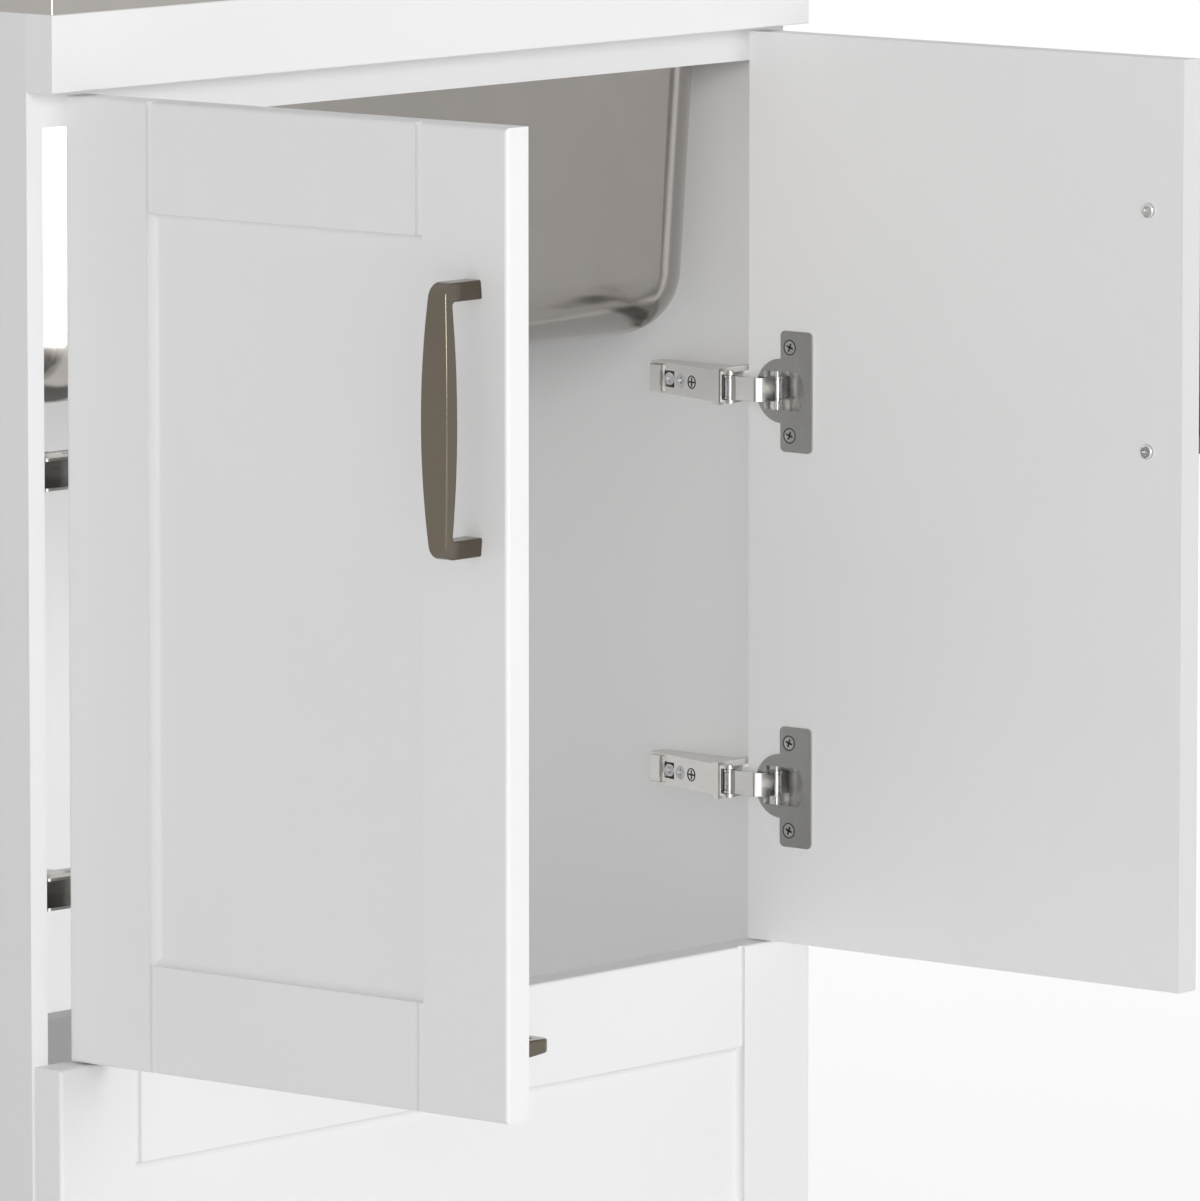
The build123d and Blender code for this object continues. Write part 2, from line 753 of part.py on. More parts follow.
# Arms: a channel from the tail to the nose round the arm pin, open towards the side panel
arm_pin = (arm_pin_x, arm_pin_y)
arm_tail_y = front + arm_tail - arm_corner
arm_tail_place = (inner_left + arm_tail_height - arm_corner, arm_tail_y)
nose_rise = arm_pin_x + arm_nose_radius - inner_left


def web_rise(behind):
    """How far the arm's web stands off the side panel, at a distance behind the front."""
    share = (arm_tail - arm_corner - behind) / (arm_tail - arm_corner - arm_pin_behind_front)
    return arm_tail_height + share * (nose_rise - arm_tail_height)


def arm_outline(z, growth, panel_side):
    """The arm's side view drawn out by a growth, closed at a distance from the side panel."""
    panel_places = [(inner_left + panel_side + arm_corner, y) for y in (arm_pin_y, arm_tail_y)]
    with BuildSketch(Plane.XY.offset(z)) as outline:
        with Locations(arm_pin):
            Circle(arm_nose_radius + growth)
        with Locations(arm_tail_place, *panel_places):
            Circle(arm_corner + growth)
        make_hull()
    return outline.sketch


def arm_band(z, growth, half_height, start, width):
    """A raised band round the arm, between two distances behind the front."""
    band_reach = 2 * (nose_rise + growth)
    with BuildPart() as band:
        extrude(arm_outline(z, growth, arm_standoff), amount=half_height, both=True)
        with BuildSketch(Plane.XY.offset(z)):
            with Locations((inner_left, front + start + width / 2)):
                Rectangle(band_reach, width)
        extrude(amount=half_height, both=True, mode=Mode.INTERSECT)
    return band.part


def hinge_arm(z):
    """One arm, with its collar and clip, the fork at its nose and the windows in its web."""
    inside_half = arm_half - arm_cheek
    fork_end = arm_pin_behind_front + arm_fork
    window_start = inner_left + hinge_plate_height
    with BuildPart() as arm:
        extrude(arm_outline(z, 0, arm_standoff), amount=arm_half, both=True)
        add(arm_band(z, collar_wall, arm_half + collar_wall, collar_start, collar_width))
        add(arm_band(z, clip_rise, clip_half, clip_start, clip_width))
        extrude(arm_outline(z, -arm_cheek, -arm_standoff - arm_cheek), amount=inside_half, both=True,
                mode=Mode.SUBTRACT)
        with BuildSketch(Plane.XY.offset(z)):
            with Locations((inner_left, front)):
                Rectangle(2 * nose_rise, 2 * fork_end)
        extrude(amount=inside_half, both=True, mode=Mode.SUBTRACT)
        with BuildSketch(Plane.YZ.offset(window_start)):
            with Locations((front + adjuster_at, z)):
                Rectangle(adjuster_window, adjuster_window)
            with Locations((front + cam_at, z)):
                Circle(cam_radius + cam_clearance)
        extrude(amount=nose_rise, mode=Mode.SUBTRACT)
        extrude(round_spots(Plane.XY.offset(z), [arm_pin], hinge_pin_radius + pin_press_clearance),
                amount=arm_half, both=True, mode=Mode.SUBTRACT)
    return arm


for level, hinge_z in hinge_heights.items():
    cup = hinge_cup(hinge_z)
    save(cup, f"left_{level}_cup")
    save_twin(cup, f"right_{level}_cup")
    link = outer_link(hinge_z)
    save(link, f"left_{level}_link")
    save_twin(link, f"right_{level}_link")
    arm = hinge_arm(hinge_z)
    save(arm, f"left_{level}_arm")
    save_twin(arm, f"right_{level}_arm")

with BuildPart() as arm_pins:
    for z in hinge_heights.values():
        extrude(round_spots(Plane.XY.offset(z), [arm_pin], hinge_pin_radius), amount=arm_half,
                both=True)
        extrude(round_spots(Plane.XY.offset(z + arm_half), [arm_pin], pin_head_radius),
                amount=pin_head)
        extrude(round_spots(Plane.XY.offset(z - arm_half), [arm_pin], pin_head_radius),
                amount=-pin_head)
    mirror(about=Plane.YZ)
save(arm_pins, "arm_pins")

# Plates under the arms, with the screws that hold them and the screws that set the arms
plate_end = arm_tail - arm_cheek
plate_top = Plane.YZ.offset(inner_left + hinge_plate_height)
head_seat = Plane.YZ.offset(inner_left + hinge_plate_height - plate_screw_head)
with BuildPart() as hinge_plates:
    with BuildSketch(side_plane):
        with Locations(*[(front + (hinge_plate_start + plate_end) / 2, z)
                         for z in hinge_heights.values()]):
            Rectangle(plate_end - hinge_plate_start, 2 * (arm_half - arm_cheek))
    extrude(amount=hinge_plate_height)
    extrude(round_spots(side_plane, plate_screw_spots, plate_screw_radius + screw_clearance),
            amount=hinge_plate_height, mode=Mode.SUBTRACT)
    extrude(round_spots(plate_top, plate_screw_spots, screw_head_radius + screw_clearance),
            amount=-plate_screw_head, mode=Mode.SUBTRACT)
    mirror(about=Plane.YZ)
save(hinge_plates, "hinge_plates")

with BuildPart() as hinge_plate_screws:
    extrude(round_spots(head_seat, plate_screw_spots, screw_head_radius), amount=plate_screw_head)
    extrude(round_spots(head_seat, plate_screw_spots, plate_screw_radius),
            amount=-(hinge_plate_height - plate_screw_head + plate_screw_length - screw_clearance))
    extrude(cross_spots(plate_top, plate_screw_spots, screw_recess_width, screw_recess_length),
            amount=-screw_recess_depth, mode=Mode.SUBTRACT)
    mirror(about=Plane.YZ)
save(hinge_plate_screws, "hinge_plate_screws")

adjuster_spots = [(front + adjuster_at, z) for z in hinge_heights.values()]
cam_spots = [(front + cam_at, z) for z in hinge_heights.values()]
adjuster_rise = web_rise(adjuster_at) - hinge_plate_height
cam_rise = web_rise(cam_at) - hinge_plate_height
with BuildPart() as hinge_adjusters:
    extrude(round_spots(plate_top, adjuster_spots, adjuster_radius), amount=adjuster_rise)
    extrude(cross_spots(plate_top.offset(adjuster_rise), adjuster_spots, screw_recess_width,
                        screw_recess_length),
            amount=-screw_recess_depth, mode=Mode.SUBTRACT)
    extrude(round_spots(plate_top, cam_spots, cam_radius), amount=cam_rise)
    extrude(cross_spots(plate_top.offset(cam_rise), cam_spots, screw_recess_width,
                        screw_recess_length),
            amount=-screw_recess_depth, mode=Mode.SUBTRACT)
    mirror(about=Plane.YZ)
save(hinge_adjusters, "hinge_adjusters")

# Runners: three channels in each other, the last one fixed to the drawer
runner_middle_y = runner_start + runner_length / 2
drawer_runner_plane = Plane.YZ.offset(inner_left + runner_space)


def runner_channel(step, web_at, lip_at):
    """A channel as long as the runner, drawn in by its step, from its web to its lips."""
    half = runner_height / 2 - step * (runner_wall + runner_play)
    web_side = 1 if lip_at > web_at else -1
    with BuildPart() as channel:
        with BuildSketch(Plane.XZ.offset(-runner_start)):
            with Locations((inner_left + (web_at + lip_at) / 2, runner_z)):
                Rectangle(abs(lip_at - web_at), 2 * half)
            with Locations((inner_left + (web_at + lip_at) / 2 + web_side * runner_wall, runner_z)):
                Rectangle(abs(lip_at - web_at), 2 * (half - runner_wall), mode=Mode.SUBTRACT)
        extrude(amount=-runner_length)
    return channel


runner_step = runner_wall + runner_play
runner_lip = runner_space - runner_wall - 2 * runner_play
with BuildPart() as cabinet_runner:
    add(runner_channel(0, 0, runner_lip - runner_step).part)
    extrude(round_spots(side_plane.offset(runner_wall), runner_screw_spots,
                        runner_screw_radius + runner_wall + pin_press_clearance),
            amount=-runner_wall, taper=countersink, mode=Mode.SUBTRACT)
save(cabinet_runner, "left_cabinet_runner")
save_twin(cabinet_runner, "right_cabinet_runner")

with BuildPart() as middle_runners:
    add(runner_channel(1, runner_step, runner_lip).part)
    mirror(about=Plane.YZ)
save(middle_runners, "middle_runners")

with BuildPart() as drawer_runner:
    add(runner_channel(2, runner_space, 2 * runner_step).part)
    extrude(round_spots(drawer_runner_plane.offset(-runner_wall), runner_screw_spots,
                        runner_screw_radius + runner_wall + pin_press_clearance),
            amount=runner_wall, taper=countersink, mode=Mode.SUBTRACT)
save(drawer_runner, "left_drawer_runner")
save_twin(drawer_runner, "right_drawer_runner")

cabinet_runner_screws = flush_screws(side_plane, runner_screw_spots, runner_wall,
                                     runner_screw_radius, runner_screw_length - screw_clearance)
with BuildPart() as all_cabinet_runner_screws:
    add(cabinet_runner_screws.part)
    mirror(about=Plane.YZ)
save(all_cabinet_runner_screws, "cabinet_runner_screws")

# The same screws from the other side, in the plane that faces the drawer
drawer_screw_plane = Plane(origin=drawer_runner_plane.origin, x_dir=(0, -1, 0), z_dir=(-1, 0, 0))
drawer_screw_spots = [(-y, z) for y, z in runner_screw_spots]
drawer_runner_screws = flush_screws(drawer_screw_plane, drawer_screw_spots, runner_wall,
                                    runner_screw_radius, runner_screw_length - screw_clearance)
with BuildPart() as all_drawer_runner_screws:
    add(drawer_runner_screws.part)
    mirror(about=Plane.YZ)
save(all_drawer_runner_screws, "drawer_runner_screws")

# Drawer
drawer_face_y = front - drawer_gap
drawer_end_y = drawer_face_y + drawer_depth
drawer_bottom_z = foot_height + board + drawer_floor_gap
box_half_width = -inner_left - runner_space
drawer_dowels_at = [
    (side * (box_half_width - drawer_side / 2), drawer_bottom_z + share * drawer_side_height)
    for side in (-1, 1)
    for share in drawer_dowel_shares
]
drawer_joint = Plane(origin=(0, drawer_face_y, 0), x_dir=(1, 0, 0), z_dir=(0, -1, 0))
drawer_outer = Plane(
    origin=(0, drawer_face_y - drawer_front_thickness, foot_height + drawer_front_height / 2),
    x_dir=(1, 0, 0),
    z_dir=(0, -1, 0),
)
drawer_handle_z = drawer_front_top - drawer_rail / 2
drawer_handle_foot = Plane(origin=(0, drawer_face_y - drawer_front_thickness, drawer_handle_z),
                           x_dir=(0, 0, -1), z_dir=(0, -1, 0))
drawer_handle_screw_spots = [
    (side * drawer_handle_spacing / 2, drawer_handle_z) for side in (-1, 1)
]
drawer_screw_seat = Plane(origin=(0, drawer_face_y, 0), x_dir=(-1, 0, 0), z_dir=(0, 1, 0))

with BuildPart() as drawer_front:
    add(framed_front(drawer_outer, cabinet_width, drawer_front_height, drawer_front_thickness,
                     drawer_rail, drawer_rail).part)
    extrude(round_spots(drawer_joint, drawer_dowels_at, dowel_hole),
            amount=dowel_in_side + dowel_end_gap / 2, mode=Mode.SUBTRACT)
    extrude(round_spots(drawer_joint, drawer_handle_screw_spots, screw_radius + screw_clearance),
            amount=drawer_front_thickness, mode=Mode.SUBTRACT)
save(drawer_front, "drawer_front")

with BuildPart() as drawer_side_board:
    with BuildSketch(Plane.XY.offset(drawer_bottom_z)):
        with Locations((-box_half_width + drawer_side / 2, (drawer_face_y + drawer_end_y) / 2)):
            Rectangle(drawer_side, drawer_depth)
    extrude(amount=drawer_side_height)
    extrude(round_spots(drawer_joint, drawer_dowels_at[:2], dowel_hole),
            amount=-dowel_in_board - dowel_end_gap / 2, mode=Mode.SUBTRACT)
    extrude(round_spots(drawer_runner_plane, runner_screw_spots,
                        runner_screw_radius + screw_clearance),
            amount=runner_screw_length, mode=Mode.SUBTRACT)
save(drawer_side_board, "drawer_left_side")
save_twin(drawer_side_board, "drawer_right_side")

drawer_inside = 2 * (box_half_width - drawer_side)
with BuildPart() as drawer_back_board:
    with BuildSketch(Plane.XY.offset(drawer_bottom_z)):
        with Locations((0, drawer_end_y - drawer_back / 2)):
            Rectangle(drawer_inside, drawer_back)
    extrude(amount=drawer_side_height)
save(drawer_back_board, "drawer_back")

with BuildPart() as drawer_bottom_board:
    with BuildSketch(Plane.XY.offset(drawer_bottom_z)):
        with Locations((0, (drawer_face_y + drawer_end_y - drawer_back) / 2)):
            Rectangle(drawer_inside, drawer_depth - drawer_back)
    extrude(amount=drawer_bottom)
save(drawer_bottom_board, "drawer_bottom")

with BuildPart() as drawer_dowels:
    extrude(round_spots(drawer_joint, drawer_dowels_at, dowel_radius), amount=dowel_in_side)
    extrude(round_spots(drawer_joint, drawer_dowels_at, dowel_radius), amount=-dowel_in_board)
save(drawer_dowels, "drawer_dowels")

save(
    bow_handle(drawer_handle_foot, drawer_handle_spacing, drawer_handle_middle, drawer_handle_end),
    "drawer_handle",
)
save(
    pan_screws(drawer_screw_seat, drawer_handle_screw_spots,
               drawer_front_thickness + handle_screw_bite),
    "drawer_handle_screws",
)
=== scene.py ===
# %% [markdown]
# # A laundry sink cabinet, dressed in Blender
#
# The real object is a flat-pack cabinet in white board with a steel sink on it. It has two
# framed doors on cup hinges, one drawer and dark nickel bow handles. The solids come from CAD
# and stay where they are. This script gives them finishes, adds dark screw and cam marks that
# are painted shade for their recesses, adds release tabs to the hinges, and sets up the studio.

import math

import bpy
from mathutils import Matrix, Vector


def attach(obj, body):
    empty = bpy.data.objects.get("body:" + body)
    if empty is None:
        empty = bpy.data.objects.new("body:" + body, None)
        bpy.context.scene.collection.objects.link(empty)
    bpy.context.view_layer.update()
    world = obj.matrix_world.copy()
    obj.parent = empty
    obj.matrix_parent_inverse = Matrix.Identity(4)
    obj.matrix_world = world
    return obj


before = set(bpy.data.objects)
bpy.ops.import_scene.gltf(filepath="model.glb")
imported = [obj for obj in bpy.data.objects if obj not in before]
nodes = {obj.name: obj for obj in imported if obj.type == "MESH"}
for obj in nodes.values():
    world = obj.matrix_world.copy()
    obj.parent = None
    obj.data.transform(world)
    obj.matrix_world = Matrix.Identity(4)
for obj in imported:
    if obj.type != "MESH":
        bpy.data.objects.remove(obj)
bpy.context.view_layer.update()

# %% [markdown]
# ## The camera
#
# The photograph was taken from the front left with a very long lens, a little above the sink. A
# camera in Blender looks along its own -Z, so it is first tipped up from looking at the floor and
# then turned about the vertical. The heading is measured from +Y towards +X. The lens is given in
# pixels of the photograph, because that is how it was measured, and is turned into millimetres of
# sensor here.

# %% Camera
PHOTO_LONG_SIDE = 1201
SENSOR = 36.0
FOCAL_PIXELS = 12083.3
CAMERA_PLACE = (-4.7450, -4.2711, 1.3111)
CAMERA_HEADING = 49.4722
CAMERA_DIP = 7.2336

lens = bpy.data.cameras.new("camera")
lens.sensor_width = SENSOR
lens.lens = FOCAL_PIXELS * SENSOR / PHOTO_LONG_SIDE
lens.clip_end = 100
camera = bpy.data.objects.new("camera", lens)
camera.location = CAMERA_PLACE
camera.rotation_euler = (
    math.radians(90 - CAMERA_DIP), 0, -math.radians(CAMERA_HEADING))
bpy.context.scene.collection.objects.link(camera)
bpy.context.scene.camera = camera
bpy.context.scene.view_settings.view_transform = "Standard"
print("lens in mm", round(lens.lens, 1))

# %% [markdown]
# ## Light, floor and background
#
# A studio picture on white has two jobs for its light: the object needs soft light at a plain
# level, and the background has to be white without more light on the object. So the world has two
# strengths. Rays that light the object see a soft grey dome, and rays from the camera, or from
# metal and glass, see white. The floor does the same with a little white of its own, and still
# takes the object's shadow.

# %% World
DOME = 0.37
BACKDROP = 1.0
MIX_FIRST, MIX_SECOND = 6, 7  # the colour inputs of a Mix node


def add(tree, kind, inputs=None, **settings):
    """A new node of that kind, with its settings, and with values or links for its inputs."""
    made = tree.nodes.new(kind)
    for name, value in settings.items():
        setattr(made, name, value)
    for socket, value in (inputs or {}).items():
        if isinstance(value, bpy.types.NodeSocket):
            tree.links.new(value, made.inputs[socket])
        else:
            made.inputs[socket].default_value = value
    return made


def backdrop_ray(tree):
    """1 for the rays that show a background: from the camera, and in metal and glass."""
    path = add(tree, "ShaderNodeLightPath")
    seen = add(tree, "ShaderNodeMath", {
        0: path.outputs["Is Camera Ray"], 1: path.outputs["Is Glossy Ray"]}, operation="MAXIMUM")
    all_three = add(tree, "ShaderNodeMath", {
        0: seen.outputs[0], 1: path.outputs["Is Transmission Ray"]}, operation="MAXIMUM")
    return all_three.outputs[0]


world = bpy.data.worlds.new("studio")
world.use_nodes = True
bpy.context.scene.world = world
sky = world.node_tree
sky.nodes.clear()
dome = add(sky, "ShaderNodeBackground", {"Color": (1, 1, 1, 1), "Strength": DOME})
white = add(sky, "ShaderNodeBackground", {"Color": (1, 1, 1, 1), "Strength": BACKDROP})
chosen = add(sky, "ShaderNodeMixShader", {
    0: backdrop_ray(sky), 1: dome.outputs[0], 2: white.outputs[0]})
add(sky, "ShaderNodeOutputWorld", {"Surface": chosen.outputs[0]})
print("dome strength", DOME)

# %% Floor
FLOOR_SIZE = 30.0
FLOOR_GREYS = (0.88, 0.88, 0.88, 1), (0.91, 0.91, 0.91, 1)
FLOOR_BLOTCHES = 1.5
NEAR_LIFT, FAR_LIFT = 0.52, 0.70
NEAR, FAR = 1.0, 4.0

floor_mesh = bpy.data.meshes.new("floor")
half_floor = FLOOR_SIZE / 2
floor_mesh.from_pydata(
    [(x * half_floor, y * half_floor, 0) for x, y in ((-1, -1), (1, -1), (1, 1), (-1, 1))],
    [], [(0, 1, 2, 3)])
floor = bpy.data.objects.new("floor", floor_mesh)
bpy.context.scene.collection.objects.link(floor)

floor_paint = bpy.data.materials.new("pale_floor")
floor_paint.use_nodes = True
paint = floor_paint.node_tree
paint.nodes.clear()
tone = add(paint, "ShaderNodeTexNoise", {
    "Vector": add(paint, "ShaderNodeTexCoord").outputs["Object"], "Scale": FLOOR_BLOTCHES})
tint = add(paint, "ShaderNodeMix", {
    0: tone.outputs["Fac"], MIX_FIRST: FLOOR_GREYS[0], MIX_SECOND: FLOOR_GREYS[1]},
    data_type="RGBA")
matt = add(paint, "ShaderNodeBsdfDiffuse", {"Color": tint.outputs[2]})
distance = add(paint, "ShaderNodeVectorMath", {
    0: add(paint, "ShaderNodeTexCoord").outputs["Object"]}, operation="LENGTH").outputs["Value"]
lift_there = add(paint, "ShaderNodeMapRange", {
    "Value": distance, "From Min": NEAR, "From Max": FAR,
    "To Min": NEAR_LIFT, "To Max": FAR_LIFT}).outputs["Result"]
lift_strength = add(paint, "ShaderNodeMath", {
    0: backdrop_ray(paint), 1: lift_there}, operation="MULTIPLY")
lift = add(paint, "ShaderNodeEmission", {"Strength": lift_strength.outputs[0]})
both = add(paint, "ShaderNodeAddShader", {0: matt.outputs[0], 1: lift.outputs[0]})
add(paint, "ShaderNodeOutputMaterial", {"Surface": both.outputs[0]})
floor_mesh.materials.append(floor_paint)

# %% [markdown]
# ## Area lamps
#
# The photograph's fronts are brighter than its left faces, and its cupboard is nearly as bright
# inside as outside. Light linking, which no real lamp has, shares that out. The front and left
# lamps reach the outer fronts alone, which keep their own shadows in the grooves. The inside lamp
# reaches the floor and all other CAD nodes, and only what hangs over the cupboard shades it. It
# doesn't reach the small pieces that are added to the hinges below. The deep lamp brightens the
# back panel. A weak key lamp reaches everything.

# %% Area lamps
# Name, place, power in watts
LAMPS = [
    ("key_lamp", (-2.50, -4.20, 2.28), 8),
    ("inside_lamp", (-2.60, -4.15, 1.60), 132),
    ("deep_lamp", (-0.60, -4.80, 1.10), 75),
    ("front_lamp", (0.30, -4.80, 1.20), 122),
    ("left_lamp", (-4.80, -0.60, 1.20), 62),
]
LAMP_AIM = (0, 0, 0.5)
LAMP_WIDTH = 2.6
OUTER_FRONTS = ["left_door", "apron", "drawer_front"]
OVERHEAD = ["apron", "front_rail", "sink_deck", "sink_bowl"]


def area_lamp(name, place, aim, power, **settings):
    """An area lamp at a place, looking at a point."""
    light = bpy.data.lights.new(name, "AREA")
    light.energy = power
    for setting, value in settings.items():
        setattr(light, setting, value)
    lamp = bpy.data.objects.new(name, light)
    lamp.location = place
    lamp.rotation_euler = (Vector(aim) - Vector(place)).to_track_quat("-Z", "Y").to_euler()
    bpy.context.scene.collection.objects.link(lamp)
    return lamp


def group(name, members):
    """A collection of objects that a lamp is linked to."""
    made = bpy.data.collections.new(name)
    for member in members:
        made.objects.link(member)
    return made


def link_light(lamp, lit, shading):
    """The lamp lights one collection, and another one casts its shadows."""
    lamp.light_linking.receiver_collection = lit
    lamp.light_linking.blocker_collection = shading


outer = group("outer_fronts", [nodes[name] for name in OUTER_FRONTS])
inner = group("all_but_outer_fronts", [floor] + [
    node for name, node in nodes.items() if name not in OUTER_FRONTS])
deep = group("back_of_cupboard", [nodes["back_panel"]])
overhead = group("what_shades_the_inside", [nodes[name] for name in OVERHEAD])
LINKS = {
    "inside_lamp": (inner, overhead),
    "deep_lamp": (deep, deep),
    "front_lamp": (outer, outer),
    "left_lamp": (outer, outer),
}
for name, place, power in LAMPS:
    lamp = area_lamp(name, place, LAMP_AIM, power, shape="DISK", size=LAMP_WIDTH)
    if name in LINKS:
        link_light(lamp, *LINKS[name])
print("lamps", [row[0] for row in LAMPS])

# %% [markdown]
# ## Strip lamps for the bowl
#
# Polished steel shows its lamps more than its own colour, and close narrow lamps can put light
# on it alone. The corner strip makes the bowl white where it shows past the left door. The band
# strip is so weak that it lifts the bowl's front only a little. The photograph has a white
# upright band near the front's right end, which this script doesn't reach.

# %% Strip lamps
# Name, place, the spot on the bowl, width and height, power in watts
STRIPS = [
    ("band_strip", (0.438, -0.272, 0.650), (0.202, -0.070, 0.700), 0.034, 0.50, 0.05),
    ("corner_strip", (-0.370, -0.430, 0.625), (-0.250, -0.062, 0.700), 0.22, 0.20, 0.9),
]
sink_only = group("sink", [nodes["sink_bowl"], nodes["sink_deck"]])
for name, place, aim, width, height, power in STRIPS:
    strip = area_lamp(name, place, aim, power, shape="RECTANGLE", size=width, size_y=height)
    link_light(strip, sink_only, sink_only)
print("strips", [row[0] for row in STRIPS])

# %% [markdown]
# ## How a finish is made
#
# Every finish here is a node material on one Principled shader. A colour that varies goes
# through a Mix node, a roughness that varies through a Map Range, and small relief through
# Bump. What is the same all over is set on the shader itself. All patterns read Object
# coordinates. Each object sits at the origin, so its Object coordinates are metres in the
# cabinet's own frame, and the scale of a noise is about the number of blotches per metre.


# %% Helpers for finishes
def new_finish(name, **values):
    """A node material, its tree and its shader, with the shader's plain values set."""
    material = bpy.data.materials.new(name)
    material.use_nodes = True
    shader = material.node_tree.nodes["Principled BSDF"]
    for socket, value in values.items():
        shader.inputs[socket.replace("_", " ")].default_value = value
    return material, material.node_tree, shader


def place_in(tree, stretch=(1, 1, 1)):
    """Object coordinates, stretched."""
    coordinates = add(tree, "ShaderNodeTexCoord").outputs["Object"]
    return add(tree, "ShaderNodeMapping", {
        "Vector": coordinates, "Scale": stretch}).outputs["Vector"]


def noise(tree, scale, detail=2.0, stretch=(1, 1, 1)):
    """A noise of about that many blotches in a metre."""
    return add(tree, "ShaderNodeTexNoise", {
        "Vector": place_in(tree, stretch), "Scale": scale, "Detail": detail}).outputs["Fac"]


def ranged(tree, value, low, high, start=0.3, end=0.7):
    """The value between start and end, spread from low to high."""
    return add(tree, "ShaderNodeMapRange", {
        "Value": value, "From Min": start, "From Max": end,
        "To Min": low, "To Max": high}).outputs["Result"]


def tinted(tree, factor, first, second):
    """A colour between two, by the factor."""
    return add(tree, "ShaderNodeMix", {
        0: factor, MIX_FIRST: (*first, 1), MIX_SECOND: (*second, 1)},
        data_type="RGBA").outputs[2]


def relief(tree, height, depth, strength=1.0, under=None):
    """A bump of that depth in metres, on top of another one."""
    inputs = {"Height": height, "Distance": depth, "Strength": strength}
    if under is not None:
        inputs["Normal"] = under
    return add(tree, "ShaderNodeBump", inputs).outputs["Normal"]


def wire(tree, shader, **sockets):
    """Links outputs to the shader's inputs."""
    for socket, output in sockets.items():
        tree.links.new(output, shader.inputs[socket.replace("_", " ")])


def give(material, names):
    """Gives carried-over CAD nodes their finish."""
    for name in names:
        slots = nodes[name].data.materials
        slots.clear()
        slots.append(material)
    print(material.name, "on", len(names), "nodes")


# %% [markdown]
# ## White board and white fronts
#
# The carcass is particle board under a white melamine skin. Melamine is pressed against an etched
# plate, so it has a fine pearl relief that breaks up its sheen. The fronts are milled from fibre
# board and wrapped in a matt white foil, which is smoother, with the faint waves that a wrapped
# foil has. Both are nearly one white, so the difference is in relief and roughness.


# %% White finishes
def board_finish(name, light, dark, pearl_scale, pearl_depth, sheen_low, sheen_high):
    """Pressed board: faint clouds in its colour, a fine pearl relief and long soft waves."""
    material, tree, shader = new_finish(name)
    cloud = noise(tree, 7.0, 3.0)
    pearl = noise(tree, pearl_scale, 1.0)
    wave = noise(tree, 14.0, 1.0)
    wiped = noise(tree, 22.0, 4.0, (1, 1, 0.25))
    waves = relief(tree, wave, 0.0006, 0.25)
    wire(tree, shader,
         Base_Color=tinted(tree, cloud, light, dark),
         Roughness=ranged(tree, wiped, sheen_low, sheen_high),
         Normal=relief(tree, pearl, pearl_depth, 0.5, waves))
    return material


white_board = board_finish(
    "white_melamine", (0.83, 0.83, 0.83), (0.80, 0.80, 0.80), 900.0, 0.00004, 0.42, 0.55)
white_front = board_finish(
    "white_foil", (0.85, 0.85, 0.85), (0.82, 0.82, 0.82), 500.0, 0.00002, 0.36, 0.46)
grey_board = board_finish(
    "grey_melamine", (0.50, 0.50, 0.50), (0.46, 0.46, 0.46), 900.0, 0.00004, 0.45, 0.60)

give(white_board, ["left_side_panel", "right_side_panel", "bottom_panel", "back_panel",
                   "front_rail", "rear_rail", "plinth"])
give(white_front, ["apron", "left_door", "right_door", "drawer_front"])
give(grey_board, ["drawer_left_side", "drawer_right_side", "drawer_back", "drawer_bottom"])

# %% [markdown]
# ## Beech and black plastic
#
# The dowels are turned from beech, which has long fine pores along the dowel and a pinkish straw
# colour. The feet are moulded in black plastic with a spark-eroded texture.

# %% Beech
beech, tree, shader = new_finish("beech_dowel")
pores = noise(tree, 400.0, 3.0, (0.08, 1, 1))
tone = noise(tree, 60.0, 2.0, (0.2, 1, 1))
wire(tree, shader,
     Base_Color=tinted(tree, pores, (0.60, 0.40, 0.23), (0.44, 0.27, 0.14)),
     Roughness=ranged(tree, tone, 0.50, 0.72),
     Normal=relief(tree, pores, 0.0001, 0.4))
give(beech, ["carcass_dowels", "drawer_dowels"])

# %% Black plastic
black_plastic, tree, shader = new_finish("black_plastic")
eroded = noise(tree, 1400.0, 2.0)
cloud = noise(tree, 30.0, 2.0)
wire(tree, shader,
     Base_Color=tinted(tree, cloud, (0.028, 0.028, 0.029), (0.040, 0.040, 0.041)),
     Roughness=ranged(tree, cloud, 0.48, 0.62),
     Normal=relief(tree, eroded, 0.00008, 0.5))
give(black_plastic, ["plinth_clips", "front_left_foot", "front_right_foot", "rear_left_foot",
                     "rear_right_foot"])

# %% [markdown]
# ## Metals
#
# Five metals are on the cabinet. The sink is brushed steel, whose fine scratches run one way and
# smear a highlight across them. The handles are cast, ground and plated in a dark nickel. The
# hinge arms and links are pressed sheet with a bright nickel plate, and the cups have a duller
# one. The runners, plates and screws are zinc plated, a little bluer and more cloudy. All are
# fully metallic, with scratches in their roughness.


# %% Metal finishes
def metal_finish(name, light, dark, rough_low, rough_high, scratch_scale, stretch, depth,
                 **values):
    """Plated or brushed metal: scratches that run one way, over faint clouds in the plate."""
    material, tree, shader = new_finish(name, Metallic=1.0, **values)
    cloud = noise(tree, 40.0, 3.0)
    scratch = noise(tree, scratch_scale, 3.0, stretch)
    wire(tree, shader,
         Base_Color=tinted(tree, cloud, light, dark),
         Roughness=ranged(tree, scratch, rough_low, rough_high),
         Normal=relief(tree, scratch, depth, 0.35))
    return material


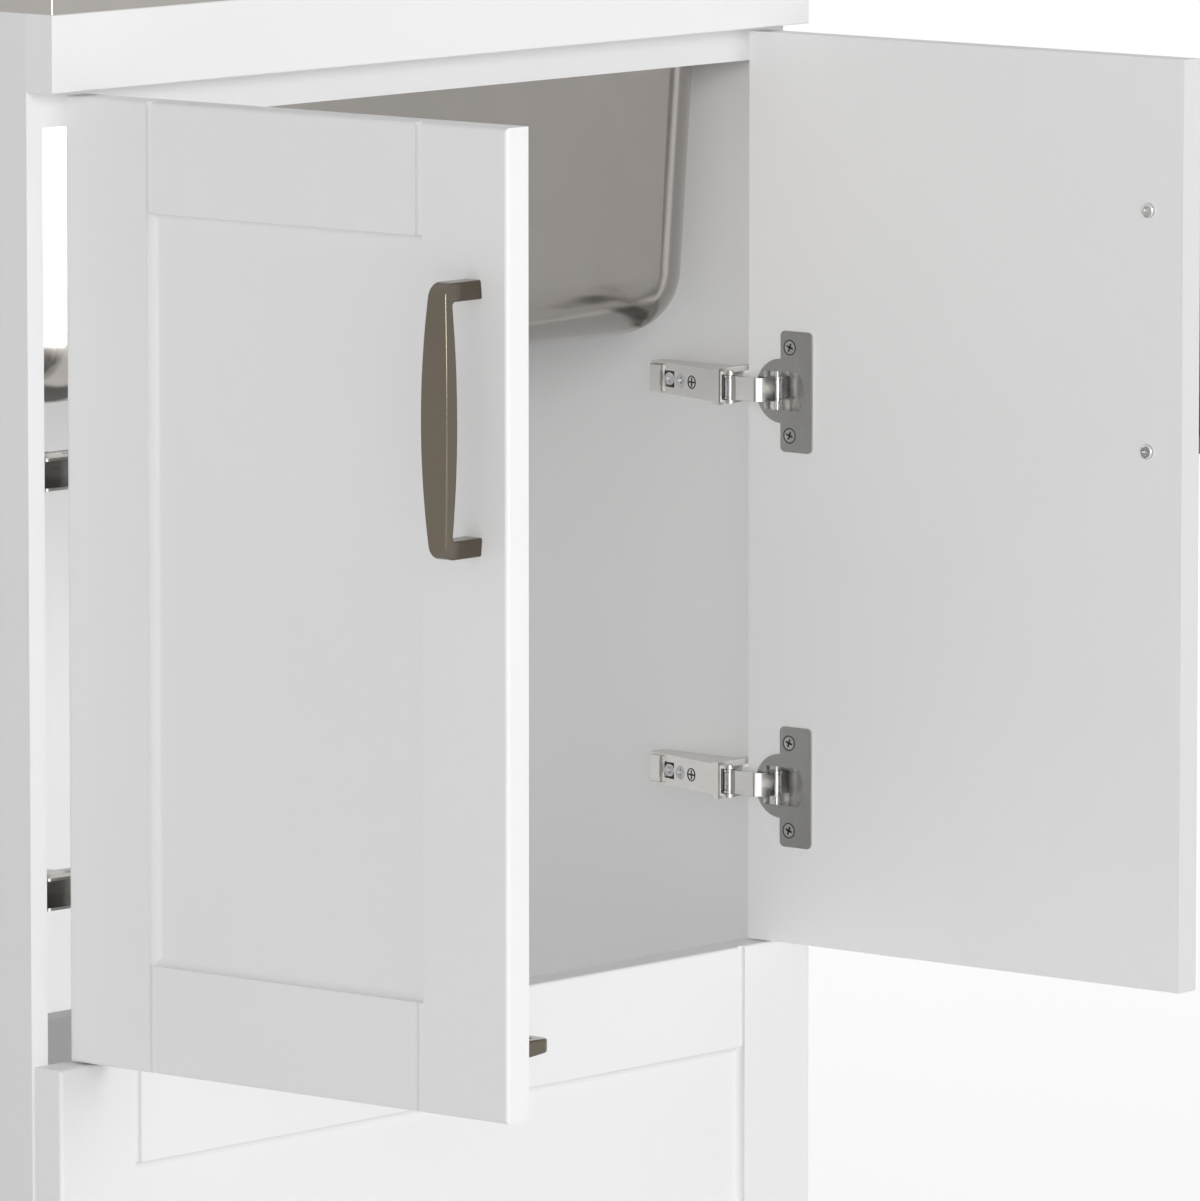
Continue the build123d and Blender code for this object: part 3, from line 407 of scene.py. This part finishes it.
sink_steel = metal_finish("brushed_steel", (0.42, 0.395, 0.375), (0.38, 0.36, 0.34),
                          0.13, 0.20, 1500.0, (0.01, 0.01, 1), 0.000002)
handle_nickel = metal_finish("dark_nickel", (0.155, 0.132, 0.104), (0.13, 0.112, 0.09),
                             0.14, 0.22, 1200.0, (1, 1, 0.03), 0.000003)
hinge_nickel = metal_finish("bright_nickel", (0.70, 0.69, 0.66), (0.60, 0.59, 0.57),
                            0.14, 0.26, 1000.0, (1, 0.05, 1), 0.000004)
cup_nickel = metal_finish("cup_nickel", (0.50, 0.495, 0.48), (0.45, 0.445, 0.43),
                          0.22, 0.28, 1000.0, (1, 1, 0.05), 0.000001)
plated_steel = metal_finish("zinc_plate", (0.66, 0.66, 0.66), (0.55, 0.55, 0.56),
                            0.26, 0.34, 700.0, (1, 0.1, 1), 0.000001)

give(sink_steel, ["sink_deck", "sink_bowl"])
give(handle_nickel, ["left_door_handle", "right_door_handle", "drawer_handle"])
give(hinge_nickel, [f"{side}_{level}_{part}" for side in ("left", "right")
                    for level in ("upper", "lower") for part in ("arm", "link")])
give(cup_nickel, [f"{side}_{level}_cup" for side in ("left", "right")
                  for level in ("upper", "lower")])
give(plated_steel, ["sink_clips", "arm_pins", "hinge_plates", "hinge_plate_screws",
                    "hinge_adjusters", "left_cabinet_runner", "right_cabinet_runner",
                    "cabinet_runner_screws", "left_drawer_runner", "right_drawer_runner",
                    "middle_runners", "drawer_runner_screws", "drawer_handle_screws"]
     + [f"{side}_{part}" for side in ("left", "right") for part in
        ("inner_links", "cup_screws", "cup_pins", "handle_screws")])

# %% [markdown]
# ## Screw drives and pressed marks on the hinges
#
# Every screw that is turned from the front has a cross recess, and the hinge maker presses a
# shallow ring round it. Both are far finer than the CAD parts, and the same mark comes back on
# every hinge. So one Geometry Nodes tree makes the mark once, from two bars and a ring, and
# sets it on a cloud of points. The bars and ring stand a little proud. Their dark finish is
# painted shade for the hollow of the recess and of the pressed ring. Each body gets one mesh,
# because the marks have to swing with the part they are on.


# %% A tree that sets marks on points
def mark_tree():
    """A ring with a cross in it, set on each point, facing along X."""
    tree = bpy.data.node_groups.new("screw_marks", "GeometryNodeTree")
    tree.interface.new_socket("Points", in_out="INPUT", socket_type="NodeSocketGeometry")
    for name in ("Ring radius", "Ring wire", "Bar length", "Bar width", "Bar turn", "Lean"):
        tree.interface.new_socket(name, in_out="INPUT", socket_type="NodeSocketFloat")
    tree.interface.new_socket("Finish", in_out="INPUT", socket_type="NodeSocketMaterial")
    tree.interface.new_socket("Marks", in_out="OUTPUT", socket_type="NodeSocketGeometry")
    given = add(tree, "NodeGroupInput").outputs
    ring = add(tree, "GeometryNodeCurvePrimitiveCircle", {
        "Resolution": 32, "Radius": given["Ring radius"]}).outputs["Curve"]
    section = add(tree, "GeometryNodeCurvePrimitiveCircle", {
        "Resolution": 8, "Radius": given["Ring wire"]}).outputs["Curve"]
    rim = add(tree, "GeometryNodeCurveToMesh", {
        "Curve": ring, "Profile Curve": section}).outputs["Mesh"]
    size = add(tree, "ShaderNodeCombineXYZ", {
        0: given["Bar length"], 1: given["Bar width"], 2: given["Ring wire"]}).outputs[0]
    bar = add(tree, "GeometryNodeMeshCube", {"Size": size}).outputs["Mesh"]
    other = add(tree, "GeometryNodeTransform", {
        "Geometry": bar, "Rotation": (0, 0, math.pi / 2)}).outputs[0]
    cross = add(tree, "GeometryNodeJoinGeometry")
    tree.links.new(bar, cross.inputs[0])
    tree.links.new(other, cross.inputs[0])
    turn = add(tree, "ShaderNodeCombineXYZ", {2: given["Bar turn"]}).outputs[0]
    turned = add(tree, "GeometryNodeTransform", {
        "Geometry": cross.outputs[0], "Rotation": turn}).outputs[0]
    mark = add(tree, "GeometryNodeJoinGeometry")
    tree.links.new(rim, mark.inputs[0])
    tree.links.new(turned, mark.inputs[0])
    stand = add(tree, "GeometryNodeTransform", {
        "Geometry": mark.outputs[0], "Rotation": (0, math.pi / 2, 0)}).outputs[0]
    lean = add(tree, "ShaderNodeCombineXYZ", {2: given["Lean"]}).outputs[0]
    placed = add(tree, "GeometryNodeInstanceOnPoints", {
        "Points": given["Points"], "Instance": stand, "Rotation": lean}).outputs["Instances"]
    real = add(tree, "GeometryNodeRealizeInstances", {"Geometry": placed}).outputs["Geometry"]
    done = add(tree, "GeometryNodeSetMaterial", {
        "Geometry": real, "Material": given["Finish"]}).outputs["Geometry"]
    add(tree, "NodeGroupOutput", {"Marks": done})
    return tree


FLANGE_MARK = {"Ring_radius": 0.0040, "Ring_wire": 0.00028, "Bar_length": 0.0046,
               "Bar_width": 0.0009, "Bar_turn": 0.35, "Lean": 0.0}
CAM_MARK = {"Ring_radius": 0.0034, "Ring_wire": 0.00035, "Bar_length": 0.0050,
            "Bar_width": 0.0009, "Bar_turn": 0.0}


def grown(name, points, tree, **values):
    """A mesh that the tree grows on points, with its inputs set by their names."""
    seed = bpy.data.meshes.new(name + "_points")
    seed.from_pydata(points, [], [])
    piece = bpy.data.objects.new(name, seed)
    bpy.context.scene.collection.objects.link(piece)
    grower = piece.modifiers.new("grow", "NODES")
    grower.node_group = tree
    for item in tree.interface.items_tree:
        key = item.name.replace(" ", "_")
        if key in values:
            grower[item.identifier] = values[key]
    piece.update_tag()
    evaluated = piece.evaluated_get(bpy.context.evaluated_depsgraph_get())
    mesh = bpy.data.meshes.new_from_object(evaluated)
    piece.modifiers.clear()
    piece.data = mesh
    mesh.name = name
    return piece


# %% Painted recess shade on flanges and adjusters
# A dark finish that paints the shade inside cross recesses and pressed rings. Its mottled colour
# is painted shade too.
painted_recess_shade, tree, shader = new_finish("recess_shadow", Metallic=0.6)
shade_mottle = noise(tree, 300.0, 2.0)
wire(tree, shader,
     Base_Color=tinted(tree, shade_mottle, (0.055, 0.053, 0.050), (0.032, 0.031, 0.030)),
     Roughness=ranged(tree, shade_mottle, 0.38, 0.55),
     Normal=relief(tree, shade_mottle, 0.00002, 0.4))

HINGE_HEIGHTS = (0.600, 0.384)
FLANGE_FACE = 0.2618
FLANGE_SCREW_Y = -0.1256
FLANGE_SCREW_OFFSET = 0.024
marks = mark_tree()
for side, sign in (("left", -1), ("right", 1)):
    heads = [(sign * FLANGE_FACE, FLANGE_SCREW_Y, height + offset) for height in HINGE_HEIGHTS
             for offset in (-FLANGE_SCREW_OFFSET, FLANGE_SCREW_OFFSET)]
    piece = grown(f"{side}_flange_screw_marks", heads, marks, Finish=painted_recess_shade, **FLANGE_MARK)
    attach(piece, f"{side}_door")
    print(piece.name, "faces", len(piece.data.polygons))


def on_arm(side, level, sign, y, z):
    """The point of an arm's face towards the cupboard's middle, and how far that face leans."""
    arm = nodes[f"{side}_{level}_arm"]
    place, normal = arm.ray_cast(Vector((0, y, z)), Vector((sign, 0, 0)))[1:3]
    return tuple(place), math.atan(normal.y / normal.x)


# The adjusting cam on each arm gets the same mark in the same dark finish, painted shade for its
# slot and ring.
CAM_Y = -0.0545
for side, sign in (("left", -1), ("right", 1)):
    found = [on_arm(side, level, sign, CAM_Y, height)
             for level, height in zip(("upper", "lower"), HINGE_HEIGHTS)]
    piece = grown(f"{side}_arm_cams", [place for place, lean in found], marks,
                  Lean=found[0][1], Finish=painted_recess_shade, **CAM_MARK)
    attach(piece, "carcass")
    print(piece.name, "at x", [round(place[0], 4) for place, lean in found])

# %% [markdown]
# ## Release tabs on the arms
#
# The arm clips on its plate, and a spring tab at its tail lets it go again. It is a bent strip
# that stands off the arm's face. A box with its edges bevelled is enough at its size.

# %% Release tabs
TAB_TAIL_Y, TAB_NOSE_Y = -0.0180, -0.0275
TAB_HALF_HEIGHT = 0.0074
TAB_FOOT, TAB_STAND = 0.0004, 0.0022
TAB_ROUND = 0.0004
BOX_FACES = [(0, 1, 3, 2), (4, 6, 7, 5), (0, 4, 5, 1), (2, 3, 7, 6), (0, 2, 6, 4), (1, 5, 7, 3)]


def tab_corners(side, level, sign, height):
    """Eight corners of a box on the arm's face, low and high, tail and nose, foot and top."""
    return [(on_arm(side, level, sign, y, height)[0][0] + sign * off, y, height + up)
            for off in (TAB_FOOT, -TAB_STAND) for y in (TAB_TAIL_Y, TAB_NOSE_Y)
            for up in (-TAB_HALF_HEIGHT, TAB_HALF_HEIGHT)]


for side, sign in (("left", -1), ("right", 1)):
    corners, faces = [], []
    for level, height in zip(("upper", "lower"), HINGE_HEIGHTS):
        first = len(corners)
        corners += tab_corners(side, level, sign, height)
        faces += [tuple(first + corner for corner in face[::-sign]) for face in BOX_FACES]
    tabs = bpy.data.meshes.new(f"{side}_release_tabs")
    tabs.from_pydata(corners, [], faces)
    piece = bpy.data.objects.new(tabs.name, tabs)
    bpy.context.scene.collection.objects.link(piece)
    tabs.materials.append(hinge_nickel)
    bevel = piece.modifiers.new("round", "BEVEL")
    bevel.width = TAB_ROUND
    bevel.segments = 2
    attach(piece, "carcass")
    print(piece.name, "faces", len(faces))
